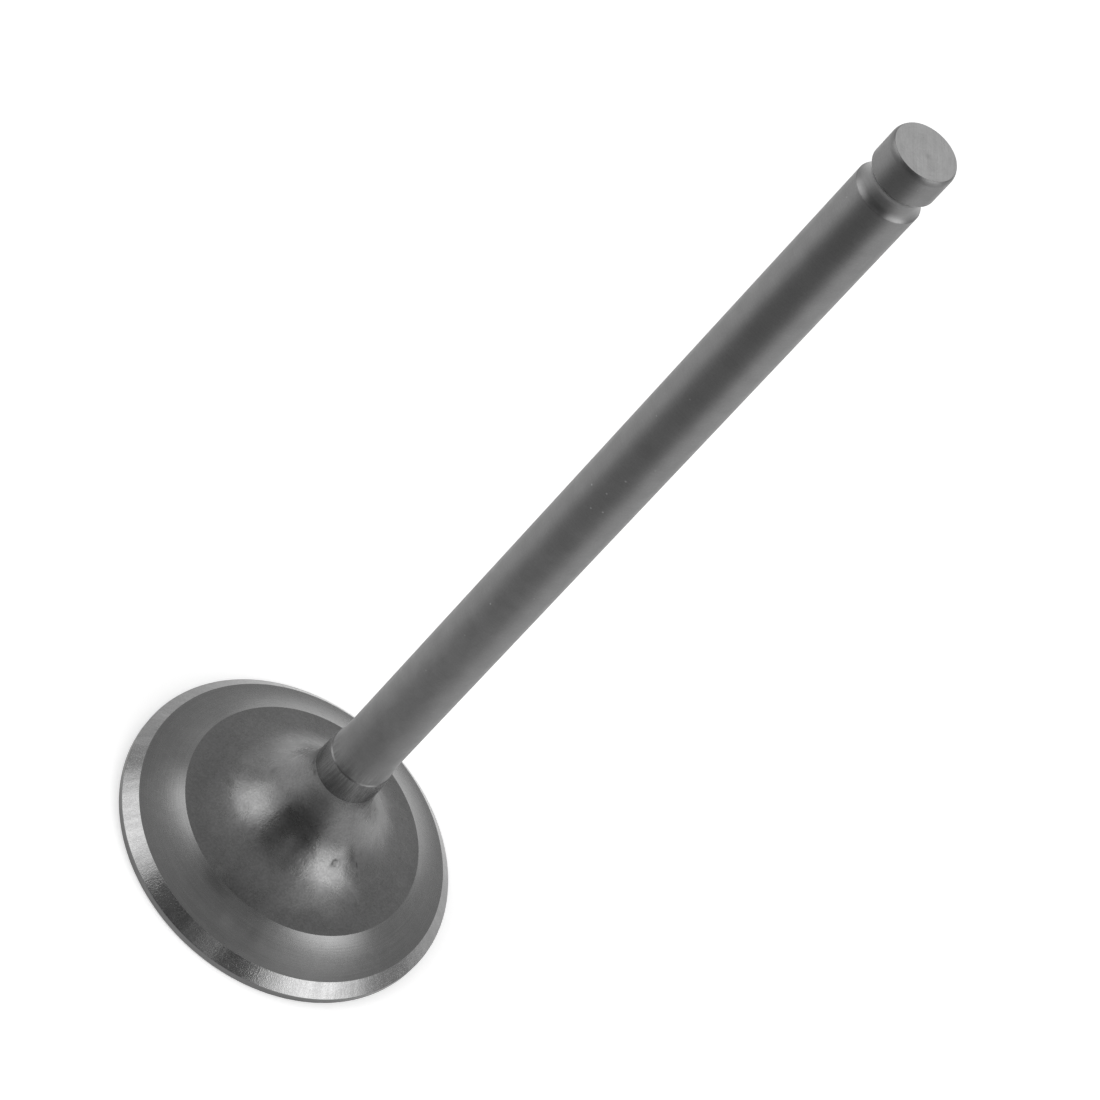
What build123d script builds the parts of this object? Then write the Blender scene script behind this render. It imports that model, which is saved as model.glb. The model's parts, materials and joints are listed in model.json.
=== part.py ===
from build123d import *
import math
import os

# Intake or exhaust valve of a four-stroke engine: a disc head, a curved throat, a neck and a long ground
# stem with one groove for the two halves of a keeper. It is forged and turned from one bar of steel, so it
# is one solid of revolution. Millimetres and degrees.
#
# Frame: the origin is the centre of the flat combustion face, and +Z runs up the stem to the tip.
# The valve stands on its head.

# ---- driving dimensions -------------------------------------------------------------------------------

OVERALL_LENGTH = 112.55         # combustion face to tip face

# head
HEAD_DIAMETER = 34.6            # outside of the margin
MARGIN_HEIGHT = 0.83            # the thin upright rim, combustion face to the foot of the seat
EDGE_BREAK = 0.15               # bevel between the combustion face and the margin
SEAT_ANGLE = 45.0               # ground sealing cone, from the plane of the head
SEAT_WIDTH = 1.21               # radial width of the sealing cone

# back of the head: a turned ring, hollow in section, between the seat and the forged throat
BACK_RING_WIDTH = 3.77          # radial width
BACK_RING_ANGLE = 29.4          # slope of the straight line across the ring
BACK_RING_BOW = 0.14            # how far the middle of the ring lies below that line

# throat: one arc from the back of the head up to the neck
THROAT_START_ANGLE = 8.0        # slope of the forged surface where it leaves the turned ring

# neck: a short, nearly straight stretch that is turned but not ground
NECK_FOOT_HEIGHT = 13.6         # from the combustion face
NECK_FOOT_DIAMETER = 6.72
NECK_LENGTH = 3.0
NECK_TOP_DIAMETER = 6.56

# stem
STEM_DIAMETER = 6.0
RUN_OUT_LENGTH = 3.4            # grinding run-out, an arc from the neck into the straight stem

# keeper groove and tip
TIP_LAND_LENGTH = 3.1           # tip face to the near edge of the groove
GROOVE_WIDTH = 2.3
GROOVE_DEPTH = 0.4
TIP_BEVEL_LENGTH = 0.55         # along the stem
TIP_BEVEL_DEPTH = 0.18          # across the stem


def ring_point(start, angle, radial_width):
    """Return the point that lies radial_width further in than start, up a straight line at angle."""
    radius, height = start
    return (radius - radial_width, height + radial_width * math.tan(math.radians(angle)))


def half_section():
    """Return the face between the axis and the outline, with the radius along X and the height along Z."""
    head_radius = HEAD_DIAMETER / 2
    stem_radius = STEM_DIAMETER / 2

    margin_top = (head_radius, MARGIN_HEIGHT)
    seat_top = ring_point(margin_top, SEAT_ANGLE, SEAT_WIDTH)
    back_ring_top = ring_point(seat_top, BACK_RING_ANGLE, BACK_RING_WIDTH)

    neck_foot = (NECK_FOOT_DIAMETER / 2, NECK_FOOT_HEIGHT)
    neck_top = (NECK_TOP_DIAMETER / 2, NECK_FOOT_HEIGHT + NECK_LENGTH)
    stem_start = (stem_radius, NECK_FOOT_HEIGHT + NECK_LENGTH + RUN_OUT_LENGTH)

    groove_far = (stem_radius, OVERALL_LENGTH - TIP_LAND_LENGTH - GROOVE_WIDTH)
    groove_root = (stem_radius - GROOVE_DEPTH, OVERALL_LENGTH - TIP_LAND_LENGTH - GROOVE_WIDTH / 2)
    groove_near = (stem_radius, OVERALL_LENGTH - TIP_LAND_LENGTH)
    bevel_start = (stem_radius, OVERALL_LENGTH - TIP_BEVEL_LENGTH)
    tip_edge = (stem_radius - TIP_BEVEL_DEPTH, OVERALL_LENGTH)

    throat_start = math.radians(THROAT_START_ANGLE)
    up_the_throat = (-math.cos(throat_start), math.sin(throat_start))
    down_the_stem = (0, -1)

    with BuildSketch(Plane.XZ) as section:
        with BuildLine():
            Polyline((0, 0), (head_radius - EDGE_BREAK, 0), (head_radius, EDGE_BREAK), margin_top, seat_top)
            SagittaArc(seat_top, back_ring_top, BACK_RING_BOW)
            TangentArc(back_ring_top, neck_foot, tangent=up_the_throat)
            Line(neck_foot, neck_top)
            TangentArc(stem_start, neck_top, tangent=down_the_stem)
            Line(stem_start, groove_far)
            ThreePointArc(groove_far, groove_root, groove_near)
            Polyline(groove_near, bevel_start, tip_edge, (0, OVERALL_LENGTH), (0, 0))
        make_face()
    return section.sketch


valve = revolve(half_section(), axis=Axis.Z)

os.makedirs("parts", exist_ok=True)
export_step(valve, "parts/valve.step")
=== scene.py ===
"""Looks of an engine poppet valve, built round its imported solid.

The valve stands on its combustion face with the stem upright. Everything is in metres, in the frame of
the solid: the origin is the centre of the combustion face and +Z runs up the stem to the tip.
"""

import json
import logging
import math
from dataclasses import dataclass
from enum import Enum

import bpy
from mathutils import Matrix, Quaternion, Vector, noise


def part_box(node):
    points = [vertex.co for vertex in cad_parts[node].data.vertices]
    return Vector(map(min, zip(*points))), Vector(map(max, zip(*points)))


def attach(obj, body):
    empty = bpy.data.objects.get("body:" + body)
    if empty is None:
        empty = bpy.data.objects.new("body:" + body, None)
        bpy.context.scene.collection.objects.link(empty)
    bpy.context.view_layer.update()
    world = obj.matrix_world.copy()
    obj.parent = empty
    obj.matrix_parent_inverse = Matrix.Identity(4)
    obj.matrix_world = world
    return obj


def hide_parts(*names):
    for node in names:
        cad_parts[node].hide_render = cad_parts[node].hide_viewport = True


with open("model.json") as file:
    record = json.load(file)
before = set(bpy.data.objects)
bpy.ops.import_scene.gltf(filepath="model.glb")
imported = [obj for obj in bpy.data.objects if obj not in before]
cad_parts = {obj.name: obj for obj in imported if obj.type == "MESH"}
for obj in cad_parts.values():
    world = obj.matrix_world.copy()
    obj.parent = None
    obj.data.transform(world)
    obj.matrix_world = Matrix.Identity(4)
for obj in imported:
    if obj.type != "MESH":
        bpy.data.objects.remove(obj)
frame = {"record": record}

LOG = logging.getLogger("valve")
MM = 0.001
SMALL_ROUND = 0.04 * MM
TINY_ROUND = 0.01 * MM

# A point of the outline as radius and height, the two ends of a span, and an output of a node.
Point = tuple[float, float]
Span = tuple[float, float]
Socket = bpy.types.NodeSocket


# ---- the surfaces of the valve ------------------------------------------------------------------------


class Zone(Enum):
    """The surfaces of the valve, from the middle of the head to the middle of the tip."""

    COMBUSTION_FACE = "combustion_face"
    MARGIN = "margin"
    SEAT = "seat"
    BACK_RING = "back_ring"
    THROAT = "throat"
    NECK = "neck"
    SHOULDER = "shoulder"
    STEM = "stem"
    GROOVE = "groove"
    TIP_BEVEL = "tip_bevel"
    TIP_FACE = "tip_face"


class Lay(Enum):
    """Which way the marks of the last tool run."""

    AROUND = "around"
    ACROSS = "across"


@dataclass(frozen=True)
class Run:
    """One stretch of the valve's outline.

    Fields:
        zone: the surface that the stretch belongs to.
        points: radius and height of its points, in order.
        corner: radius of the round where it meets the stretch before it.
    """

    zone: Zone
    points: list[Point]
    corner: float = SMALL_ROUND


def straight(start: Point, end: Point, steps: int) -> list[Point]:
    """Return steps + 1 points on the line from start to end."""
    return [(start[0] + (end[0] - start[0]) * i / steps, start[1] + (end[1] - start[1]) * i / steps)
            for i in range(steps + 1)]


def arc_by_bow(start: Point, end: Point, bow: float, steps: int) -> list[Point]:
    """Return an arc whose middle stands off the straight line by bow.

    Args:
        start: first point.
        end: last point.
        bow: the stand-off, to the left of the way from start to end where positive.
        steps: number of stretches.

    Returns:
        The steps + 1 points.
    """
    across, up = end[0] - start[0], end[1] - start[1]
    chord = math.hypot(across, up)
    radius = (chord * chord / 4 + bow * bow) / (2 * abs(bow))
    half_turn = math.asin(chord / 2 / radius) if abs(bow) < chord / 2 else math.pi / 2
    side = math.copysign(1.0, bow)
    centre_off = math.copysign(radius - abs(bow), bow)
    left = (-up / chord, across / chord)
    along = (across / chord, up / chord)
    middle = ((start[0] + end[0]) / 2 - left[0] * centre_off,
              (start[1] + end[1]) / 2 - left[1] * centre_off)
    points = []
    for i in range(steps + 1):
        turn = half_turn * (2 * i / steps - 1)
        forward = radius * math.sin(turn)
        outward = radius * math.cos(turn) * side
        points.append((middle[0] + along[0] * forward + left[0] * outward,
                       middle[1] + along[1] * forward + left[1] * outward))
    return points


def arc_by_slope(start: Point, end: Point, heading: float, steps: int) -> list[Point]:
    """Return an arc that leaves start at a given heading.

    Args:
        start: first point.
        end: last point.
        heading: direction of travel at start, in radians, from the +radius direction.
        steps: number of stretches.

    Returns:
        The steps + 1 points.
    """
    chord = math.hypot(end[0] - start[0], end[1] - start[1])
    towards = math.atan2(end[1] - start[1], end[0] - start[0])
    half_turn = math.remainder(towards - heading, 2 * math.pi)
    bow = -chord / 2 * math.tan(half_turn / 2)
    return arc_by_bow(start, end, bow, steps)


def ramp(value: float, low: float, high: float) -> float:
    """Return 0 up to low and 1 from high, with a smooth rise between."""
    share = min(max((value - low) / (high - low), 0.0), 1.0)
    return share * share * (3 - 2 * share)


def on_circle(degrees: float) -> tuple[float, float]:
    """Return the cosine and the sine of an angle."""
    turn = math.radians(degrees)
    return math.cos(turn), math.sin(turn)


@dataclass(frozen=True)
class Spot:
    """A place on the valve's surface.

    Fields:
        azimuth: direction from +X, in degrees.
        radius: distance from the axis, in millimetres.
        height: above the combustion face, in millimetres.
    """

    azimuth: float
    radius: float
    height: float

    def vector(self) -> Vector:
        """Return the place as a point in millimetres."""
        east, north = on_circle(self.azimuth)
        return Vector((self.radius * east, self.radius * north, self.height))


# ---- finishes -----------------------------------------------------------------------------------------


# Where the values of a noise texture lie, before they are spread to 0 to 1.
NOISE_SPAN: Span = (0.25, 0.75)
# The least distance from the axis that a direction is worked out with, in millimetres.
OFF_AXIS = 0.01
# Length of a brush streak in millimetres, and how many finer layers it has.
BRUSH_LENGTH = 2.5
BRUSH_DETAIL = 3.0
# Share of its size over which a darker or lighter patch fades.
PATCH_FADE = 0.9
# What lays a drawn-out reflection across the marks that run round, in turns.
QUARTER_TURN = 0.25


class Bench:
    """A node tree, with short calls to place and join its nodes."""

    def __init__(self, tree: bpy.types.NodeTree) -> None:
        """Take the tree of a material or a world, and empty it."""
        self.tree = tree
        self.tree.nodes.clear()

    def node(self, kind: str, sockets: dict | None = None, **settings) -> bpy.types.Node:
        """Place a node.

        Args:
            kind: the node's type name.
            sockets: values or outputs to feed its inputs with, by input name or number.
            settings: the node's own properties.

        Returns:
            The new node.
        """
        made = self.tree.nodes.new(kind)
        for key, value in settings.items():
            setattr(made, key, value)
        for key, value in (sockets or {}).items():
            if isinstance(value, bpy.types.NodeSocket):
                self.tree.links.new(value, made.inputs[key])
            else:
                made.inputs[key].default_value = value
        return made

    def math(self, operation: str, *values: object) -> Socket:
        """Return the result of a math operation on values."""
        return self.node("ShaderNodeMath", dict(enumerate(values)), operation=operation).outputs[0]

    def times(self, *values: object) -> object:
        """Return the product of values."""
        return self.math("MULTIPLY", self.times(*values[:-1]), values[-1]) if values[1:] else values[0]

    def plus(self, *values: object) -> object:
        """Return the sum of values."""
        return self.math("ADD", self.plus(*values[:-1]), values[-1]) if values[1:] else values[0]

    def over(self, value: Socket, divisor: object) -> Socket:
        """Return value / divisor."""
        return self.math("DIVIDE", value, divisor)

    def inverse(self, value: Socket) -> Socket:
        """Return 1 - value."""
        return self.math("SUBTRACT", 1.0, value)

    def reach(self, *parts: Socket) -> Socket:
        """Return the length of a way, from its parts at right angles."""
        return self.math("SQRT", self.plus(*[self.times(part, part) for part in parts]))

    def swing(self, value: Socket, share: float) -> Socket:
        """Return a noise of 0 to 1 carried to 1 - share to 1 + share."""
        return self.math("MULTIPLY_ADD", value, 2 * share, 1 - share)

    def toned(self, inside: Socket, tone: float) -> Socket:
        """Return 1 where inside is 0, and tone where it is 1."""
        return self.math("MULTIPLY_ADD", inside, tone - 1.0, 1.0)

    def step(self, value: Socket, low: float, high: float) -> Socket:
        """Return 0 up to low and 1 from high, with a smooth rise between."""
        sockets = {"Value": value, "From Min": low, "From Max": high}
        return self.node("ShaderNodeMapRange", sockets, interpolation_type="SMOOTHSTEP").outputs[0]

    def noise(self, vector: Socket, size: float, detail: float = 2.0) -> Socket:
        """Return a noise at a point, of 0 to 1, whose patches are about size across."""
        made = self.node("ShaderNodeTexNoise", {"Vector": vector, "Scale": 1 / size, "Detail": detail})
        return self.step(made.outputs[0], *NOISE_SPAN)

    def vector(self, x: object, y: object, z: object) -> Socket:
        """Return three values joined into one vector."""
        return self.node("ShaderNodeCombineXYZ", {0: x, 1: y, 2: z}).outputs[0]


class Place:
    """Where a shading point lies on the valve, in millimetres."""

    def __init__(self, bench: Bench) -> None:
        """Place the nodes that work out radius, height and direction.

        Args:
            bench: the node tree.
        """
        self.bench = bench
        seen = bench.node("ShaderNodeTexCoord").outputs["Object"]
        scaled = bench.node("ShaderNodeVectorMath", {0: seen, "Scale": 1 / MM}, operation="SCALE")
        self.point = scaled.outputs[0]
        self.x, self.y, self.height = bench.node("ShaderNodeSeparateXYZ", {0: self.point}).outputs
        self.radius = bench.reach(self.x, self.y)
        safe = bench.math("MAXIMUM", self.radius, OFF_AXIS)
        self.east, self.north = bench.over(self.x, safe), bench.over(self.y, safe)

    def noise(self, size: float, detail: float = 2.0) -> Socket:
        """Return a noise over the surface, of 0 to 1, whose patches are about size across."""
        return self.bench.noise(self.point, size, detail)

    def turned(self, azimuth: float) -> tuple[Socket, Socket]:
        """Work out how far the point lies along a level direction, and across it.

        Args:
            azimuth: the direction, in degrees from +X.

        Returns:
            The two distances.
        """
        bench = self.bench
        east, north = on_circle(azimuth)
        along = bench.plus(bench.times(self.x, east), bench.times(self.y, north))
        across = bench.plus(bench.times(self.x, -north), bench.times(self.y, east))
        return along, across

    def marks(self, lay: Lay, pitch: float, length: float, detail: float = 2.0) -> Socket:
        """Return a noise drawn out into tool marks.

        Args:
            lay: which way the marks run.
            pitch: their width in millimetres, or for marks across, in degrees.
            length: their length in degrees, or for marks across, in millimetres.
            detail: how many finer layers the noise has.

        Returns:
            A value of 0 to 1.
        """
        bench = self.bench
        along = bench.math("SUBTRACT", self.height, self.radius)
        turn_size, line_size = (length, pitch) if lay is Lay.AROUND else (pitch, length)
        turns = math.degrees(1.0) / turn_size
        stretched = bench.vector(bench.times(self.east, turns), bench.times(self.north, turns),
                                 bench.over(along, line_size))
        return bench.noise(stretched, 1.0, detail)

    def brushed(self, pitch: float, contrast: float) -> Socket:
        """Return the tone of streaks brushed along the stem, each pitch degrees wide."""
        return self.bench.swing(self.marks(Lay.ACROSS, pitch, BRUSH_LENGTH, BRUSH_DETAIL), contrast)

    def lines(self, azimuth: float, pitch: float, length: float) -> Socket:
        """Return a noise drawn out into straight parallel lines over a flat face.

        Args:
            azimuth: direction of the lines from +X, in degrees.
            pitch: width of a line, in millimetres.
            length: length of a line, in millimetres.

        Returns:
            A value of 0 to 1.
        """
        bench = self.bench
        along, across = self.turned(azimuth)
        return bench.noise(bench.vector(bench.over(across, pitch), bench.over(along, length), 0.0), 1.0)

    def patch(self, spot: Spot, round_size: float, run_size: float, soft: float = 0.6) -> Socket:
        """Return 1 in a round patch of the surface and 0 outside it.

        Args:
            spot: its middle.
            round_size: half its width round the axis, in millimetres.
            run_size: half its length along the outline, in millimetres.
            soft: share of its size over which it fades.

        Returns:
            A value of 0 to 1.
        """
        bench = self.bench
        along, across = self.turned(spot.azimuth)
        facing = bench.plus(along, -spot.radius)
        up = bench.math("SUBTRACT", self.height, spot.height)
        away = bench.reach(bench.over(across, round_size), bench.over(facing, run_size),
                           bench.over(up, run_size))
        return bench.inverse(bench.step(away, 1 - soft, 1.0))


@dataclass(frozen=True)
class TonePatch:
    """A darker or lighter place on the steel: some only darken the steel, others are painted shade in
    hollows and painted dark reflections.

    Fields:
        spot: its middle.
        half_width: round the axis, in millimetres.
        half_length: along the outline, in millimetres.
        tone: of its middle, where 1 is the steel round it.
    """

    spot: Spot
    half_width: float
    half_length: float
    tone: float

    def shade(self, place: Place) -> Socket:
        """Return the tone that the patch gives a point."""
        inside = place.patch(self.spot, self.half_width, self.half_length, PATCH_FADE)
        return place.bench.toned(inside, self.tone)


@dataclass(frozen=True)
class SteelFinish:
    """A bare steel surface and the marks that the last tool left on it.

    Fields:
        level: linear grey of the steel.
        roughness: how far it spreads a reflection.
        anisotropy: how far the spread is drawn out across the marks.
        edge_tint: grey of the steel at a grazing look.
        mottle: share by which the grey wanders from place to place, over mottle_size.
        grain: the same from grain to grain.
        grain_size, grain_depth: of a grain, in millimetres.
        lay: which way the tool marks run.
        mark_pitch: width of a mark, in millimetres, or in degrees for marks across.
        mark_length: length of a mark, in degrees, or in millimetres for marks across.
        mark_contrast, gloss_swing: shares by which the marks vary the grey, and the roughness wanders.
    """

    name: str
    level: float
    roughness: float
    anisotropy: float = 0.0
    edge_tint: float = 1.0
    mottle: float = 0.04
    mottle_size: float = 2.0
    grain: float = 0.03
    grain_size: float = 0.15
    grain_depth: float = 0.0
    lay: Lay = Lay.AROUND
    mark_pitch: float = 0.15
    mark_length: float = 25.0
    mark_contrast: float = 0.04
    mark_depth: float = 0.0005
    gloss_swing: float = 0.1
    # Darker or lighter patches, some of them painted shade and painted dark reflections.
    tone_patches: tuple[TonePatch, ...] = ()

    def tones(self, place: Place) -> list[Socket]:
        """Return what else varies the grey, each as a factor."""
        return []

    def relief(self, place: Place) -> list[Socket]:
        """Return what else stands up from the surface, each as a height in millimetres."""
        return []

    def shade(self, place: Place, marks: Socket) -> Socket:
        """Work out the grey of the surface.

        Args:
            place: of the shading point.
            marks: the tool marks there, 0 to 1.

        Returns:
            The linear grey.
        """
        bench = place.bench
        mottling = bench.swing(place.noise(self.mottle_size), self.mottle)
        graining = bench.swing(place.noise(self.grain_size, detail=1.0), self.grain)
        marking = bench.swing(marks, self.mark_contrast)
        tone_patches = [tone_patch.shade(place) for tone_patch in self.tone_patches]
        return bench.times(self.level, mottling, graining, marking, *tone_patches, *self.tones(place))

    def height(self, place: Place, marks: Socket) -> Socket:
        """Work out the height of the fine marks.

        Args:
            place: of the shading point.
            marks: the tool marks there, 0 to 1.

        Returns:
            The height, in millimetres.
        """
        bench = place.bench
        parts = [bench.times(marks, self.mark_depth)]
        if self.grain_depth:
            parts.append(bench.times(place.noise(self.grain_size), self.grain_depth))
        return bench.plus(*parts, *self.relief(place))

    def gloss(self, place: Place) -> Socket:
        """Return the roughness, wandering from place to place."""
        wander = place.noise(self.mottle_size / 2, detail=3.0)
        return place.bench.times(self.roughness, place.bench.swing(wander, self.gloss_swing))

    def material(self) -> bpy.types.Material:
        """Build the material.

        Returns:
            The Blender material.
        """
        material = bpy.data.materials.new(self.name)
        material.use_nodes = True
        bench = Bench(material.node_tree)
        place = Place(bench)
        marks = place.marks(self.lay, self.mark_pitch, self.mark_length)
        bump = bench.node("ShaderNodeBump", {"Strength": 1.0, "Distance": MM,
                                             "Height": self.height(place, marks)})
        sockets = {"Base Color": self.shade(place, marks), "Metallic": 1.0,
                   "Roughness": self.gloss(place), "Normal": bump.outputs[0],
                   "Specular Tint": (self.edge_tint, self.edge_tint, self.edge_tint, 1.0)}
        if self.anisotropy:
            tangent = bench.node("ShaderNodeTangent", direction_type="RADIAL", axis="Z")
            sockets |= {"Anisotropic": self.anisotropy, "Anisotropic Rotation": QUARTER_TURN,
                        "Tangent": tangent.outputs[0]}
        shader = bench.node("ShaderNodeBsdfPrincipled", sockets)
        bench.node("ShaderNodeOutputMaterial", {"Surface": shader.outputs[0]})
        return material


@dataclass(frozen=True)
class SeatFinish(SteelFinish):
    """The ground sealing cone, with stippled chatter marks straight across it.

    Fields:
        stipple, bars: shares by which the stipple and the chatter bars vary the grey.
        facet_depth: height of the sparse bright facets, in millimetres.
        facet_from: value of the stipple above which a facet rises.
        bar_pitch, bar_length: of a bar, in degrees and in millimetres.
    """

    stipple: float = 0.07
    stipple_size: float = 0.12
    facet_depth: float = 0.0026
    facet_from: float = 0.7
    bar_pitch: float = 2.2
    bar_length: float = 6.0
    bars: float = 0.08

    def tones(self, place: Place) -> list[Socket]:
        """Return the tones of the stipple and of the bars."""
        bars = place.marks(Lay.ACROSS, self.bar_pitch, self.bar_length, detail=1.0)
        return [place.bench.swing(self.dots(place), self.stipple), place.bench.swing(bars, self.bars)]

    def relief(self, place: Place) -> list[Socket]:
        """Return the height of the facets."""
        facets = place.bench.step(self.dots(place), self.facet_from, 1.0)
        return [place.bench.times(facets, self.facet_depth)]

    def dots(self, place: Place) -> Socket:
        """Return the stipple, 0 to 1."""
        return place.noise(self.stipple_size, detail=0.0)


@dataclass(frozen=True)
class ForgedFinish(SteelFinish):
    """The forged throat: grainy and mottled, and darker towards the neck, partly in tone and partly by
    painted shade.

    Fields:
        blotch: share by which the smaller blotches vary the grey.
        foot: heights between which it darkens towards the neck, to foot_shade, partly painted shade.
        wrinkle: where the skin is wrinkled, as far as wrinkle_reach.
        wrinkle_size, wrinkle_depth: of a wrinkle, in millimetres.
    """

    blotch: float = 0.04
    blotch_size: float = 0.7
    foot: Span = (12.8, 13.6)
    foot_shade: float = 0.92
    wrinkle: Spot = Spot(-42.0, 6.3, 7.2)
    wrinkle_reach: float = 1.7
    wrinkle_size: float = 0.32
    wrinkle_depth: float = 0.004

    def tones(self, place: Place) -> list[Socket]:
        """Return the tones of the blotches and of the darker foot of the neck, partly painted shade."""
        foot = place.bench.toned(place.bench.step(place.height, *self.foot), self.foot_shade)
        return [place.bench.swing(place.noise(self.blotch_size), self.blotch), foot]

    def relief(self, place: Place) -> list[Socket]:
        """Return the height of the wrinkled skin."""
        inside = place.patch(self.wrinkle, self.wrinkle_reach, self.wrinkle_reach, soft=0.8)
        return [place.bench.times(place.noise(self.wrinkle_size, detail=3.0), inside, self.wrinkle_depth)]


@dataclass(frozen=True)
class NeckFinish(SteelFinish):
    """The dark neck, brushed along the stem.

    Fields:
        brush_pitch: width of a brush streak, in degrees.
    """

    brush_pitch: float = 3.5
    brush_contrast: float = 0.2

    def tones(self, place: Place) -> list[Socket]:
        """Return the tone of the broad brush streaks."""
        return [place.brushed(self.brush_pitch, self.brush_contrast)]


@dataclass(frozen=True)
class StemFinish(SteelFinish):
    """The ground stem: finely marked round, with a brushed foot and a few light specks.

    Fields:
        speck_lift: how much lighter a speck is than the steel.
        dust_cell: mean distance between the tiniest specks, in millimetres.
        dust_edge: where such a speck begins and has ended to fade, as shares of that distance.
        dust_share: how light it is beside a larger speck.
        brush_pitch: width of a brush streak of the foot, in degrees.
        brush_end: heights between which the streaks run out, in millimetres.
    """

    specks: tuple[Spot, ...] = ()
    speck_size: float = 0.12
    speck_lift: float = 0.9
    dust_cell: float = 1.7
    dust_edge: Span = (0.025, 0.065)
    dust_share: float = 0.5
    brush_pitch: float = 5.0
    brush_contrast: float = 0.2
    brush_end: Span = (16.8, 19.2)

    def tones(self, place: Place) -> list[Socket]:
        """Work out the tones of the brushed foot and of the specks.

        Args:
            place: of the shading point.

        Returns:
            The two factors.
        """
        bench = place.bench
        streaks = place.brushed(self.brush_pitch, self.brush_contrast)
        foot = bench.inverse(bench.step(place.height, *self.brush_end))
        brushed = bench.math("MULTIPLY_ADD", foot, bench.math("SUBTRACT", streaks, 1.0), 1.0)
        cells = bench.node("ShaderNodeTexVoronoi", {"Vector": place.point, "Scale": 1 / self.dust_cell})
        dust = bench.inverse(bench.step(cells.outputs["Distance"], *self.dust_edge))
        lift = bench.toned(dust, 1.0 + self.dust_share * self.speck_lift)
        for spot in self.specks:
            speck = place.patch(spot, self.speck_size, self.speck_size)
            lift = bench.math("MULTIPLY_ADD", speck, self.speck_lift, lift)
        return [brushed, lift]


@dataclass(frozen=True)
class TipFinish(SteelFinish):
    """The ground tip face, with straight grinding lines.

    Fields:
        line_azimuth: direction of the lines from +X, in degrees.
        line_contrast: share by which the lines vary the grey.
        line_sizes: width and length of the finer and the broader lines, in millimetres.
    """

    line_azimuth: float = 120.0
    line_contrast: float = 0.045
    line_sizes: tuple[Span, ...] = ((0.12, 2.5), (0.5, 5.0))

    def tones(self, place: Place) -> list[Socket]:
        """Return the tones of the lines."""
        return [place.bench.swing(place.lines(self.line_azimuth, pitch, length), self.line_contrast)
                for pitch, length in self.line_sizes]


STEM_SPECKS = (
    Spot(-91.0, 3.0, 65.5),
    Spot(-75.0, 3.0, 63.5),
    Spot(-82.0, 3.0, 68.0),
    Spot(-120.0, 3.0, 64.7),
    Spot(-94.0, 3.0, 63.0),
    Spot(-108.0, 3.0, 46.0),
)
# Darker places of the throat. The first only darkens the steel there; the rest are painted shade in the
# pits and creases, and painted dark reflections.
THROAT_STAINS_AND_PAINTED_SHADE = (
    TonePatch(Spot(-131.0, 3.4, 13.25), 0.5, 0.4, 0.6),
    # Painted dark reflection beside the left highlight.
    TonePatch(Spot(-163.5, 5.44, 8.2), 0.7, 0.6, 0.8),
    # Painted shade in the two pits.
    TonePatch(Spot(-38.0, 6.27, 7.24), 0.8, 0.9, 0.66),
    TonePatch(Spot(-40.5, 6.4, 7.1), 0.3, 0.34, 0.72),
    # Painted shade along the long crease.
    TonePatch(Spot(-19.0, 6.0, 7.53), 0.6, 1.7, 0.72),
    TonePatch(Spot(-15.0, 6.8, 6.73), 0.18, 0.65, 0.52),
    TonePatch(Spot(-16.5, 7.5, 6.15), 0.13, 0.4, 0.75),
    # Painted shade along the small creases beside the pits.
    TonePatch(Spot(-52.0, 6.2, 7.3), 0.5, 0.2, 0.8),
    # Painted shade: a large dark reflection painted down the front of the throat, towards the neck.
    TonePatch(Spot(-90.5, 3.7, 11.7), 3.0, 3.1, 0.43),
)
# Painted shade: a dark reflection painted down the front of the neck.
NECK_PAINTED_SHADE = (TonePatch(Spot(-91.0, 3.3, 15.1), 2.1, 4.5, 0.57),)
RING_STAINS = (
    TonePatch(Spot(-100.0, 12.8, 3.85), 2.2, 0.9, 0.8),
    TonePatch(Spot(-85.0, 14.3, 2.9), 1.1, 1.3, 1.12),
    TonePatch(Spot(-74.0, 14.2, 3.0), 1.2, 1.8, 0.86),
)
# Painted shade at the front of the stem's foot, carrying on the neck's painted dark reflection.
STEM_PAINTED_SHADE = (TonePatch(Spot(-93.0, 3.2, 16.6), 1.5, 1.2, 0.68),)
TIP_STAINS = (TonePatch(Spot(-30.0, 0.45, 112.55), 0.5, 0.5, 0.88),)

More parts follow.
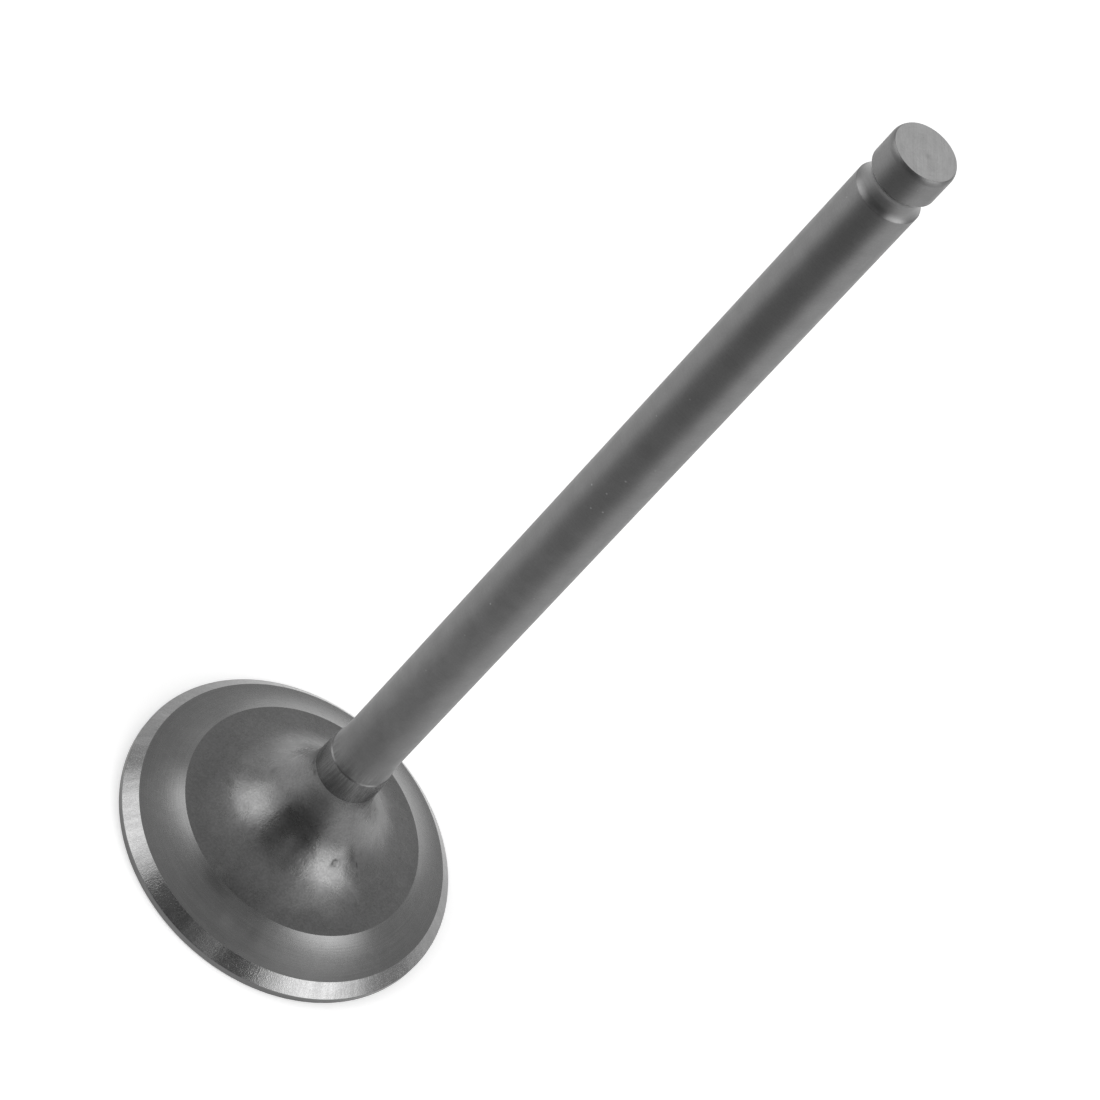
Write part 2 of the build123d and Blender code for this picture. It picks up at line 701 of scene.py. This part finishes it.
FINISHES: dict[Zone, SteelFinish] = {
    Zone.COMBUSTION_FACE: SteelFinish("faced_steel", 0.2, 0.3, mark_pitch=0.25, mark_length=160.0,
                                      mark_contrast=0.1, mark_depth=0.0012),
    Zone.MARGIN: SteelFinish("turned_margin_steel", 0.15, 0.3, mark_contrast=0.1),
    Zone.SEAT: SeatFinish("ground_seat_steel", 0.25, 0.12, edge_tint=0.85, lay=Lay.ACROSS,
                          mark_pitch=0.35, mark_length=0.5, mark_contrast=0.08, mark_depth=0.0022,
                          grain_depth=0.003, grain_size=0.085, gloss_swing=0.25),
    Zone.BACK_RING: SteelFinish("turned_ring_steel", 0.178, 0.27, mottle=0.03, mottle_size=1.2,
                                mark_pitch=0.1, mark_length=40.0, mark_contrast=0.06, mark_depth=0.0012,
                                gloss_swing=0.05, tone_patches=RING_STAINS),
    Zone.THROAT: ForgedFinish("forged_steel", 0.163, 0.28, mottle=0.035, mottle_size=2.5, grain=0.1,
                              grain_size=0.2, grain_depth=0.0042, mark_contrast=0.0,
                              tone_patches=THROAT_STAINS_AND_PAINTED_SHADE),
    Zone.NECK: NeckFinish("neck_steel", 0.156, 0.24, lay=Lay.ACROSS, mark_pitch=1.6, mark_length=2.0,
                          mark_contrast=0.14, mark_depth=0.002, tone_patches=NECK_PAINTED_SHADE),
    Zone.SHOULDER: SteelFinish("shoulder_steel", 0.125, 0.36, mottle=0.2, mottle_size=0.8),
    Zone.STEM: StemFinish("ground_stem_steel", 0.173, 0.42, anisotropy=0.7, mottle=0.055, mark_pitch=0.12,
                          mark_contrast=0.03, grain=0.04, tone_patches=STEM_PAINTED_SHADE, specks=STEM_SPECKS),
    Zone.GROOVE: SteelFinish("groove_steel", 0.18, 0.36),
    Zone.TIP_BEVEL: SteelFinish("tip_bevel_steel", 0.16, 0.42),
    Zone.TIP_FACE: TipFinish("ground_tip_steel", 0.465, 0.3, mottle=0.05, mottle_size=1.2,
                             tone_patches=TIP_STAINS),
}


# ---- the valve ----------------------------------------------------------------------------------------


# Shape of a pit, as shares of its radius: where its floor and its wall run and where its lip rises and
# falls. Its floor is a little shallower in the middle, by this share of its depth.
BOWL_FLOOR: Span = (0.0, 0.6)
BOWL_WALL: Span = (0.5, 1.0)
BOWL_MIDDLE = 0.6
LIP_RISE: Span = (0.8, 1.1)
LIP_FALL: Span = (1.1, 1.8)
# Shape of a crease, as shares of its length: where it deepens and where it runs out. It sways this often
# in a millimetre, and the seed makes it sway in the same way on every run.
CREASE_RISE: Span = (-0.1, 0.2)
CREASE_FALL: Span = (0.8, 1.1)
SWAY_RATE = 1.5
SWAY_SEED = 7
# A corner of the outline stays sharp below this turn. A round takes at most the first share of the
# stretch beside it, and the point that holds it stands at most at the second.
FLATTEST_CORNER = math.radians(1.5)
ROUND_SHARE = 0.45
HOLD_SHARE = 0.7


def add_object(name: str, data: bpy.types.ID) -> bpy.types.Object:
    """Put a new object with this data into the scene.

    Args:
        name: the object's name.
        data: its mesh, lamp or camera.

    Returns:
        The object.
    """
    made = bpy.data.objects.new(name, data)
    bpy.context.scene.collection.objects.link(made)
    return made


@dataclass
class Head:
    """The disc: combustion face, margin, seat and the turned ring behind the seat.

    Fields:
        edge_break: bevel between the combustion face and the margin.
        margin_height: combustion face to the foot of the seat.
        seat_angle: of the sealing cone, in degrees from the plane of the head.
        seat_width, ring_width: across the radius.
        ring_angle: slope of the straight line across the turned ring, in degrees.
        ring_bow: how far the middle of the ring lies below that line.
    """

    radius: float
    edge_break: float = 0.15 * MM
    margin_height: float = 0.83 * MM
    seat_angle: float = 45.0
    seat_width: float = 1.21 * MM
    ring_width: float = 3.77 * MM
    ring_angle: float = 29.4
    ring_bow: float = 0.14 * MM

    def ring_top(self) -> Point:
        """Return where the turned ring ends and the throat begins."""
        return self.runs()[-1].points[-1]

    def runs(self) -> list[Run]:
        """Lay out the head's share of the outline.

        Returns:
            The stretches, from the axis up to the throat.
        """
        seat_rise = self.seat_width * math.tan(math.radians(self.seat_angle))
        ring_rise = self.ring_width * math.tan(math.radians(self.ring_angle))
        face_edge = (self.radius - self.edge_break, 0.0)
        margin_foot = (self.radius, self.edge_break)
        margin_top = (self.radius, self.margin_height)
        seat_top = (self.radius - self.seat_width, self.margin_height + seat_rise)
        ring_top = (seat_top[0] - self.ring_width, seat_top[1] + ring_rise)
        return [
            Run(Zone.COMBUSTION_FACE, straight((0.0, 0.0), face_edge, steps=4)),
            Run(Zone.MARGIN, straight(face_edge, margin_foot, steps=1)),
            Run(Zone.MARGIN, straight(margin_foot, margin_top, steps=2)),
            Run(Zone.SEAT, straight(margin_top, seat_top, steps=3)),
            Run(Zone.BACK_RING, arc_by_bow(seat_top, ring_top, self.ring_bow, steps=10)),
        ]


@dataclass(frozen=True)
class Pit:
    """A small round pit with a raised lip.

    Fields:
        spot: its middle.
        radius: of its rim.
        depth: at its deepest.
        lip: height of the lip.
    """

    spot: Spot
    radius: float = 0.38 * MM
    depth: float = 0.045 * MM
    lip: float = 0.008 * MM

    def lift(self, point: Vector) -> float:
        """Work out the change of the surface, outward where positive.

        Args:
            point: of the surface.

        Returns:
            The change.
        """
        away = (point - self.spot.vector() * MM).length / self.radius
        floor = BOWL_MIDDLE + (1 - BOWL_MIDDLE) * ramp(away, *BOWL_FLOOR)
        bowl = -self.depth * (1 - ramp(away, *BOWL_WALL)) * floor
        return bowl + self.lip * ramp(away, *LIP_RISE) * (1 - ramp(away, *LIP_FALL))


@dataclass(frozen=True)
class Crease:
    """A short fold in the forged skin.

    Fields:
        start: one end.
        end: the other end.
        width: half its width.
        depth: at its deepest.
        sway: how far it wanders to the side.
    """

    start: Spot
    end: Spot
    width: float = 0.2 * MM
    depth: float = 0.06 * MM
    sway: float = 0.12 * MM

    def lift(self, point: Vector) -> float:
        """Work out the change of the surface, outward where positive.

        Args:
            point: of the surface.

        Returns:
            The change.
        """
        first, last = self.start.vector() * MM, self.end.vector() * MM
        way = last - first
        share = (point - first).dot(way) / way.length_squared
        if not CREASE_RISE[0] < share < CREASE_FALL[1]:
            return 0.0
        swayed = point + noise.noise_vector(point / MM * SWAY_RATE) * self.sway
        away = (swayed - first - way * share).length
        fade = ramp(share, *CREASE_RISE) * (1 - ramp(share, *CREASE_FALL))
        return -self.depth * fade * math.exp(-(away / self.width) ** 2)


@dataclass
class Throat:
    """The forged curve from the back of the head up to the neck.

    Fields:
        start_angle: its slope where it leaves the turned ring, in degrees.
        steps: number of stretches of its outline.
        swell, ripple: heights of the broad and the finer unevenness of the forging.
        swell_rate, ripple_rate: how often each comes and goes in a millimetre.
        start_fade, end_fade: how far from the ring and from the neck they are full.
        flaws: pits and creases in it.
    """

    start: Point
    end: Point
    start_angle: float = 8.0
    steps: int = 104
    swell: float = 0.03 * MM
    swell_rate: float = 0.45
    ripple: float = 0.008 * MM
    ripple_rate: float = 1.3
    start_fade: float = 1.0 * MM
    end_fade: float = 1.2 * MM
    flaws: tuple[Pit | Crease, ...] = (
        Pit(Spot(-38.0, 6.27, 7.24)),
        Pit(Spot(-41.5, 6.5, 7.0), radius=0.24 * MM, depth=0.02 * MM),
        Crease(Spot(-17.0, 5.48, 8.15), Spot(-14.5, 6.93, 6.61), depth=0.018 * MM),
        Crease(Spot(-57.5, 5.98, 7.55), Spot(-47.5, 6.41, 7.09), width=0.1 * MM, depth=0.02 * MM),
        Crease(Spot(-50.0, 5.7, 7.87), Spot(-47.0, 6.3, 7.2), width=0.08 * MM, depth=0.015 * MM),
    )

    def runs(self) -> list[Run]:
        """Return the one stretch of the outline."""
        heading = math.pi - math.radians(self.start_angle)
        return [Run(Zone.THROAT, arc_by_slope(self.start, self.end, heading, self.steps))]

    def lift(self, point: Vector) -> float:
        """Work out the unevenness of the forging, outward where positive.

        Args:
            point: of the surface.

        Returns:
            The change of the surface.
        """
        from_ring = self.start[0] - math.hypot(point.x, point.y)
        fade = ramp(from_ring, 0.0, self.start_fade) * ramp(self.end[1] - point.z, 0.0, self.end_fade)
        swell = self.swell * noise.noise(point / MM * self.swell_rate)
        ripple = self.ripple * noise.noise(point / MM * self.ripple_rate)
        return fade * (swell + ripple) + sum(flaw.lift(point) for flaw in self.flaws)


@dataclass
class Neck:
    """The short turned stretch between the throat and the ground stem."""

    foot_height: float = 13.6 * MM
    foot_radius: float = 3.36 * MM
    length: float = 3.0 * MM
    top_radius: float = 3.28 * MM

    def foot(self) -> Point:
        """Return where the neck leaves the throat."""
        return (self.foot_radius, self.foot_height)

    def top(self) -> Point:
        """Return where the neck meets the run-out of the stem."""
        return (self.top_radius, self.foot_height + self.length)

    def runs(self) -> list[Run]:
        """Return the one stretch of the outline."""
        return [Run(Zone.NECK, straight(self.foot(), self.top(), steps=4))]


@dataclass
class Stem:
    """The ground stem: run-out, straight length, keeper groove and tip.

    Fields:
        neck_top: where the run-out leaves the neck.
        length: height of the tip face.
        run_out: length of the grinding run-out.
        shoulder: height of the small step where the grinding begins.
        tip_land: tip face to the near edge of the groove.
        groove_foot_round, groove_round: of the groove's edges towards the head and the tip.
        bevel_length, bevel_depth: of the bent tip bevel, along and across the axis.
    """

    radius: float
    neck_top: Point
    length: float
    run_out: float = 3.4 * MM
    shoulder: float = 0.12 * MM
    tip_land: float = 3.1 * MM
    groove_width: float = 2.3 * MM
    groove_depth: float = 0.4 * MM
    groove_foot_round: float = 0.08 * MM
    groove_round: float = 0.02 * MM
    bevel_length: float = 0.55 * MM
    bevel_depth: float = 0.18 * MM

    def runs(self) -> list[Run]:
        """Lay out the stem's share of the outline.

        Returns:
            The stretches, from the neck to the middle of the tip.
        """
        straight_foot = (self.radius, self.neck_top[1] + self.run_out)
        groove_near = (self.radius, self.length - self.tip_land)
        groove_far = (self.radius, groove_near[1] - self.groove_width)
        bevel_foot = (self.radius, self.length - self.bevel_length)
        tip_edge = (self.radius - self.bevel_depth, self.length)
        run_out_foot = (self.neck_top[0] - self.shoulder, self.neck_top[1] + self.shoulder)
        run_out = arc_by_slope(straight_foot, run_out_foot, -math.pi / 2, steps=10)
        groove = arc_by_bow(groove_far, groove_near, self.groove_depth, steps=18)
        return [
            Run(Zone.SHOULDER, straight(self.neck_top, run_out_foot, steps=1), TINY_ROUND),
            Run(Zone.STEM, run_out[::-1], TINY_ROUND),
            Run(Zone.STEM, straight(straight_foot, groove_far, steps=4)),
            Run(Zone.GROOVE, groove, self.groove_foot_round),
            Run(Zone.STEM, straight(groove_near, bevel_foot, steps=2), self.groove_round),
            Run(Zone.TIP_BEVEL, arc_by_slope(bevel_foot, tip_edge, math.pi / 2, steps=8)),
            Run(Zone.TIP_FACE, straight(tip_edge, (0.0, self.length), steps=3), TINY_ROUND),
        ]


@dataclass
class Valve:
    """The whole valve, one piece of steel."""

    head: Head
    throat: Throat
    neck: Neck
    stem: Stem
    sides: int = 400

    def outline(self) -> tuple[list[Point], list[Zone]]:
        """Join the stretches of every part, and round the corners between them.

        Returns:
            The outline's points from the middle of the head to the middle of the tip, and the zone of
            the stretch after each point but the last.
        """
        points: list[Point] = []
        zones: list[Zone] = []
        runs = self.head.runs() + self.throat.runs() + self.neck.runs() + self.stem.runs()
        for number, run in enumerate(runs):
            stretch = run.points[1:] if number else list(run.points)
            if number + 1 < len(runs):
                corner, after = stretch[-1], runs[number + 1].points[1]
                before = stretch[-2] if len(stretch) > 1 else points[-1]
                stretch[-1:] = self.round_corner(before, corner, after, runs[number + 1].corner)
            points += stretch
            zones += [run.zone] * (len(points) - len(zones))
        return points, zones[1:]

    def round_corner(self, before: Point, corner: Point, after: Point, radius: float) -> list[Point]:
        """Round one corner of the outline.

        Args:
            before: the point before the corner.
            corner: the corner itself.
            after: the point after it.
            radius: of the round, made smaller where the stretches beside it are too short.

        Returns:
            The points of the round with one to hold it at each end, or only the corner where it is flat.
        """
        inward = Vector((corner[0] - before[0], corner[1] - before[1]))
        outward = Vector((after[0] - corner[0], after[1] - corner[1]))
        turn = inward.angle(outward)
        if turn < FLATTEST_CORNER:
            return [corner]
        trim = min(radius * math.tan(turn / 2), inward.length * ROUND_SHARE, outward.length * ROUND_SHARE)
        first = Vector(corner) - inward.normalized() * trim
        last = Vector(corner) + outward.normalized() * trim
        bow = trim * math.tan(turn / 4) * math.cos(turn / 2)
        left_turn = inward.x * outward.y - inward.y * outward.x > 0
        arc = arc_by_bow(tuple(first), tuple(last), -bow if left_turn else bow, steps=4)
        hold_in = Vector(corner) - inward.normalized() * min(trim * 2, inward.length * HOLD_SHARE)
        hold_out = Vector(corner) + outward.normalized() * min(trim * 2, outward.length * HOLD_SHARE)
        return [tuple(hold_in)] + arc + [tuple(hold_out)]

    def ring(self, points: list[Point], number: int, forged: bool) -> list[tuple[float, float, float]]:
        """Turn one station of the outline about the axis.

        Args:
            points: the outline.
            number: of the station.
            forged: whether it lies in the forged throat.

        Returns:
            One vertex for each side.
        """
        radius, height = points[number]
        before, after = points[number - 1], points[number + 1]
        along = Vector((after[0] - before[0], after[1] - before[1])).normalized()
        vertices = []
        for side in range(self.sides):
            angle = 2 * math.pi * side / self.sides
            east, north = math.cos(angle), math.sin(angle)
            lift = self.throat.lift(Vector((radius * east, radius * north, height))) if forged else 0.0
            out, up = radius + along.y * lift, height - along.x * lift
            vertices.append((out * east, out * north, up))
        return vertices

    def facets(self, rings: int) -> list[tuple[int, ...]]:
        """Join the turned stations.

        Args:
            rings: how many there are between the middle of the head and the middle of the tip.

        Returns:
            The facets as the numbers of their vertices, side after side, each from head to tip.
        """
        last = 1 + (rings - 1) * self.sides
        faces = []
        for side in range(self.sides):
            after = (side + 1) % self.sides
            faces.append((0, 1 + after, 1 + side))
            for low in range(1, last, self.sides):
                high = low + self.sides
                faces.append((low + side, low + after, high + after, high + side))
            faces.append((last + side, last + after, last + self.sides))
        return faces

    def mesh(self) -> bpy.types.Mesh:
        """Turn the outline about the axis.

        Returns:
            The closed mesh.
        """
        points, zones = self.outline()
        vertices = [(0.0, 0.0, points[0][1])]
        for number in range(1, len(points) - 1):
            forged = zones[number - 1] is Zone.THROAT and zones[number] is Zone.THROAT
            vertices += self.ring(points, number, forged)
        vertices.append((0.0, 0.0, points[-1][1]))
        data = bpy.data.meshes.new("valve_surface")
        data.from_pydata(vertices, [], self.facets(len(points) - 2))
        self.dress(data, zones * self.sides)
        return data

    def dress(self, data: bpy.types.Mesh, zones: list[Zone]) -> None:
        """Give every facet the finish of its zone.

        Args:
            data: the mesh.
            zones: the zone of each facet.
        """
        order = list(Zone)
        for zone in order:
            data.materials.append(FINISHES[zone].material())
        data.polygons.foreach_set("material_index", [order.index(zone) for zone in zones])
        data.polygons.foreach_set("use_smooth", [True] * len(zones))
        data.update()

    def build(self) -> bpy.types.Object:
        """Make the valve and put it in the place of the plain solid.

        Returns:
            The piece.
        """
        made = add_object("valve_surface", self.mesh())
        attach(made, "root")
        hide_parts("valve")
        return made


# ---- the studio ---------------------------------------------------------------------------------------


WHITE = (1.0, 1.0, 1.0, 1.0)
# Azimuth of -Y, the way to the dark opening, in degrees from +X.
AHEAD = -90.0


def way_out(azimuth: float, elevation: float) -> Vector:
    """Return the way out from the valve at an azimuth from +X and an elevation, in degrees."""
    (east, north), (level, up) = on_circle(azimuth), on_circle(elevation)
    return Vector((east * level, north * level, up))


def face_along(made: bpy.types.Object, sight: Vector, roll: float) -> None:
    """Turn a lamp or a lens.

    Args:
        made: the object.
        sight: the way that it faces.
        roll: turn about that way, in degrees.
    """
    made.rotation_mode = "QUATERNION"
    rolled = Quaternion((0.0, 0.0, 1.0), math.radians(roll))
    made.rotation_quaternion = sight.to_track_quat("-Z", "Y") @ rolled


@dataclass
class Floor:
    """The pale floor that the valve stands on.

    Fields:
        level: linear grey of the floor.
        lift: how much white the lens and the steel see on top of the light that falls on it.
        shade: tone of the painted shade on the floor in front of the valve.
        shade_from, shade_full: distances from the valve where the painted shade begins and is deepest.
        shade_side: direction from straight ahead at which it has faded out, in degrees.
    """

    radius: float = 4.0
    sides: int = 96
    level: float = 0.92
    lift: float = 0.36
    shade: float = 0.3
    shade_from: float = 0.046
    shade_full: float = 0.075
    shade_side: float = 78.0

    def build(self) -> None:
        """Make the disc."""
        turns = [2 * math.pi * side / self.sides for side in range(self.sides)]
        vertices = [(self.radius * math.cos(turn), self.radius * math.sin(turn), 0.0) for turn in turns]
        data = bpy.data.meshes.new("studio_floor")
        data.from_pydata(vertices, [], [tuple(range(self.sides))])
        data.materials.append(self.material())
        made = add_object("studio_floor", data)

    def material(self) -> bpy.types.Material:
        """Build a matt white that the lens and reflections see a little lighter than it is lit.

        Returns:
            The Blender material.
        """
        material = bpy.data.materials.new("studio_floor_white")
        material.use_nodes = True
        bench = Bench(material.node_tree)
        path = bench.node("ShaderNodeLightPath")
        rays = ("Is Camera Ray", "Is Glossy Ray", "Is Transmission Ray")
        seen = bench.math("MINIMUM", bench.plus(*[path.outputs[ray] for ray in rays]), 1.0)
        tone = self.tone(bench)
        matt = bench.node("ShaderNodeBsdfDiffuse", {"Color": bench.times(tone, self.level)})
        glow = bench.node("ShaderNodeEmission", {"Color": WHITE,
                                                 "Strength": bench.times(tone, seen, self.lift)})
        both = bench.node("ShaderNodeAddShader", {0: matt.outputs[0], 1: glow.outputs[0]})
        bench.node("ShaderNodeOutputMaterial", {"Surface": both.outputs[0]})
        return material

    def tone(self, bench: Bench) -> Socket:
        """Work out the tone of the floor.

        Args:
            bench: the node tree.

        Returns:
            1 on the open floor, falling to the painted shade in front of the valve.
        """
        spot = bench.node("ShaderNodeNewGeometry").outputs["Position"]
        x, y, _ = bench.node("ShaderNodeSeparateXYZ", {0: spot}).outputs
        away = bench.math("MAXIMUM", bench.reach(x, y), MM)
        front = bench.over(bench.times(y, -1.0), away)
        inside = bench.step(front, on_circle(self.shade_side)[0], 1.0)
        depth = bench.times(inside, bench.step(away, self.shade_from, self.shade_full))
        return bench.toned(depth, self.shade)


@dataclass
class Softbox:
    """A flat lamp that faces the head of the valve.

    Fields:
        azimuth: direction from the valve, in degrees from +X.
        elevation: of its middle, in degrees.
        radiance: how bright its face is, where 1 is white.
        roll: turn about the line to the valve, in degrees.
    """

    name: str
    azimuth: float
    elevation: float
    radiance: float
    roll: float
    distance: float = 0.5
    width: float = 0.5
    height: float = 0.32

    def build(self) -> None:
        """Make the lamp."""
        lamp = bpy.data.lights.new(self.name, "AREA")
        lamp.shape = "RECTANGLE"
        lamp.size = self.width
        lamp.size_y = self.height
        lamp.energy = self.radiance * math.pi * self.width * self.height
        made = add_object(self.name, lamp)
        made.location = way_out(self.azimuth, self.elevation) * self.distance
        face_along(made, -way_out(self.azimuth, self.elevation), self.roll)
        made.visible_camera = False


SOFTBOXES = (
    Softbox("left_softbox", -163.0, 27.2, 1.05, 12.0),
    Softbox("left_softbox_middle", -166.0, 32.5, 0.9, 12.0, distance=0.49, width=0.27, height=0.22),
    Softbox("right_softbox", -15.0, 27.2, 1.15, -12.0),
    Softbox("right_softbox_middle", -14.0, 32.5, 1.35, -12.0, distance=0.49, width=0.27, height=0.22),
)

# How far up a direction points where the walls pass into the room above, how far back where the wall
# behind begins, and how far up where that wall ends.
OVERHEAD_SPAN: Span = (0.35, 0.9)
REAR_SPAN: Span = (0.5, 0.97)
REAR_TOP: Span = (0.2, 0.8)
# The least level part that a direction is worked out with.
NEARLY_UPRIGHT = 0.001
# Half the width of the soft edges: beside the opening and under a post, and at the opening's top.
SOFT_SIDE = 0.08
SOFT_TOP = 0.12


class Outlook:
    """A direction out of the valve into the room, as parts of its length."""

    def __init__(self, bench: Bench) -> None:
        """Place the nodes that work out how far it points ahead, right and up.

        Args:
            bench: the node tree.
        """
        self.bench = bench
        self.direction = bench.node("ShaderNodeTexCoord").outputs["Generated"]
        x, y, self.up = bench.node("ShaderNodeSeparateXYZ", {0: self.direction}).outputs
        level = bench.math("MAXIMUM", bench.reach(x, y), NEARLY_UPRIGHT)
        self.front = bench.over(bench.times(y, -1.0), level)
        self.right = bench.over(x, level)

    def edge(self, value: Socket, middle: float, soft: float) -> Socket:
        """Return 0 below an edge and 1 beyond it, with a rise of twice soft between."""
        return self.bench.step(value, middle - soft, middle + soft)


@dataclass(frozen=True)
class Post:
    """An upright thing that stands in the dark opening of the room.

    Fields:
        azimuth: its direction from -Y, in degrees, to +X where positive.
        half_width: in degrees.
        level: how much lighter it is than the opening.
        foot: elevation of its lower end, in degrees.
        fade: where its side begins and has ended to fade, as shares of half its width.
    """

    azimuth: float
    half_width: float
    level: float
    foot: float = 28.0
    fade: Span = (1.5, 0.5)

    def light(self, outlook: Outlook) -> Socket:
        """Work out the light that the post adds.

        Args:
            outlook: the direction.

        Returns:
            Its level, or 0 beside it.
        """
        bench = outlook.bench
        south, east = on_circle(self.azimuth)
        facing = bench.plus(bench.times(outlook.right, east), bench.times(outlook.front, south))
        outer, inner = [on_circle(self.half_width * share)[0] for share in self.fade]
        above = outlook.edge(outlook.up, on_circle(self.foot)[1], SOFT_SIDE)
        return bench.times(bench.step(facing, outer, inner), above, self.level)


@dataclass(frozen=True)
class Glow:
    """A soft light patch on the walls or the ceiling.

    Fields:
        azimuth: its direction from -Y, in degrees, to +X where positive.
        elevation: of its middle, in degrees.
        reach: from its middle to where it has faded out, in degrees.
        level: how much lighter its middle is than the room.
    """

    azimuth: float
    elevation: float
    reach: float
    level: float

    def light(self, outlook: Outlook) -> Socket:
        """Work out the light that the glow adds.

        Args:
            outlook: the direction.

        Returns:
            Its level in the middle, down to 0 outside it.
        """
        bench = outlook.bench
        towards = tuple(way_out(AHEAD + self.azimuth, self.elevation))
        facing = bench.node("ShaderNodeVectorMath", {0: outlook.direction, 1: towards},
                            operation="DOT_PRODUCT")
        return bench.times(bench.step(facing.outputs["Value"], on_circle(self.reach)[0], 1.0), self.level)


@dataclass
class Surroundings:
    """The room round the valve: pale walls with a dark opening on one side.

    Fields:
        overhead, sides, behind: greys of the room above, at the sides and behind the valve.
        opening: grey of the dark opening.
        opening_half_width, opening_top: its edges, in degrees.
        posts: what stands in the opening.
        glows: light patches that the softboxes throw on the room.
    """

    overhead: float = 0.44
    sides: float = 0.62
    behind: float = 0.72
    opening: float = 0.14
    opening_half_width: float = 43.0
    opening_top: float = 55.0
    posts: tuple[Post, ...] = (
        Post(11.0, 3.6, 0.8),
        Post(-4.0, 3.0, 0.33),
        Post(35.0, 9.0, 0.12),
        Post(-30.0, 7.0, 0.15),
    )
    glows: tuple[Glow, ...] = (
        Glow(80.0, 50.0, 36.0, 0.32),
        Glow(-80.0, 51.0, 36.0, 0.26),
        Glow(90.0, 54.0, 20.0, 0.3),
        Glow(6.0, 75.0, 12.0, 0.2),
        Glow(180.0, 50.0, 38.0, 0.16),
        Glow(-122.0, 8.0, 20.0, 0.32),
    )

    def build(self) -> None:
        """Make the world."""
        world = bpy.data.worlds.new("studio_room")
        world.use_nodes = True
        bench = Bench(world.node_tree)
        outlook = Outlook(bench)
        inside = self.opened(outlook)
        dark = bench.plus(self.opening, *[post.light(outlook) for post in self.posts])
        glows = [glow.light(outlook) for glow in self.glows]
        walls = bench.times(self.walls(outlook), bench.inverse(inside))
        level = bench.plus(walls, bench.times(dark, inside), *glows)
        shader = bench.node("ShaderNodeBackground", {"Color": WHITE, "Strength": level})
        bench.node("ShaderNodeOutputWorld", {"Surface": shader.outputs[0]})
        bpy.context.scene.world = world

    def walls(self, outlook: Outlook) -> Socket:
        """Work out the grey of the walls and the ceiling.

        Args:
            outlook: the direction.

        Returns:
            The grey, as if there were no opening.
        """
        bench = outlook.bench
        low = bench.inverse(bench.step(outlook.up, *OVERHEAD_SPAN))
        rear = bench.times(bench.step(bench.times(outlook.front, -1.0), *REAR_SPAN),
                           bench.inverse(bench.step(outlook.up, *REAR_TOP)))
        return bench.plus(self.overhead, bench.times(low, self.sides - self.overhead),
                          bench.times(rear, self.behind - self.sides))

    def opened(self, outlook: Outlook) -> Socket:
        """Work out where the opening is.

        Args:
            outlook: the direction.

        Returns:
            1 in the opening and 0 on the walls.
        """
        bench = outlook.bench
        in_width = outlook.edge(outlook.front, on_circle(self.opening_half_width)[0], SOFT_SIDE)
        over_top = outlook.edge(outlook.up, on_circle(self.opening_top)[1], SOFT_TOP)
        return bench.times(in_width, bench.inverse(over_top))


@dataclass
class CameraStand:
    """The lens: above the head and in front of the stem, rolled over to one side.

    Fields:
        place: where the lens is.
        aim: the point that it looks at.
        roll: turn about the line of sight, in degrees.
        focal_length: in millimetres.
        sensor_width: in millimetres.
        sight_range: nearest and farthest that it sees.
    """

    place: tuple[float, float, float] = (0.0, -0.26491, 0.31613)
    aim: tuple[float, float, float] = (-0.00032, 0.0, 0.05304)
    roll: float = 42.96
    focal_length: float = 140.67
    sensor_width: float = 36.0
    sight_range: Span = (0.01, 20.0)

    def build(self) -> None:
        """Make the camera and hand it to the scene."""
        data = bpy.data.cameras.new("lens")
        data.sensor_width = self.sensor_width
        data.lens = self.focal_length
        data.clip_start, data.clip_end = self.sight_range
        made = add_object("lens", data)
        made.location = self.place
        face_along(made, Vector(self.aim) - Vector(self.place), self.roll)
        bpy.context.scene.camera = made


def valve_from_frame() -> Valve:
    """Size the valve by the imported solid.

    Returns:
        The valve, with its overall sizes read from the frame.
    """
    low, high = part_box("valve")
    stem_mount = next(m for m in frame["record"]["mounts"] if m["name"] == "stem")
    head = Head(radius=(high.x - low.x) / 2)
    neck = Neck()
    throat = Throat(start=head.ring_top(), end=neck.foot())
    stem = Stem(radius=stem_mount["dims"]["r_mm"] * MM, neck_top=neck.top(), length=high.z)
    return Valve(head, throat, neck, stem)


def main() -> None:
    """Build the studio and the valve."""
    logging.basicConfig(level=logging.INFO, format="%(message)s")
    noise.seed_set(SWAY_SEED)
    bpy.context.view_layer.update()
    bpy.context.scene.view_settings.view_transform = "Standard"
    for part in (CameraStand(), Surroundings(), Floor(), *SOFTBOXES):
        part.build()
        LOG.info("%s: built", type(part).__name__)
    made = valve_from_frame().build()
    triangles = sum(len(face.vertices) - 2 for face in made.data.polygons)
    LOG.info("%s: %d vertices, %d triangles", made.name, len(made.data.vertices), triangles)


if __name__ == "__main__":
    main()
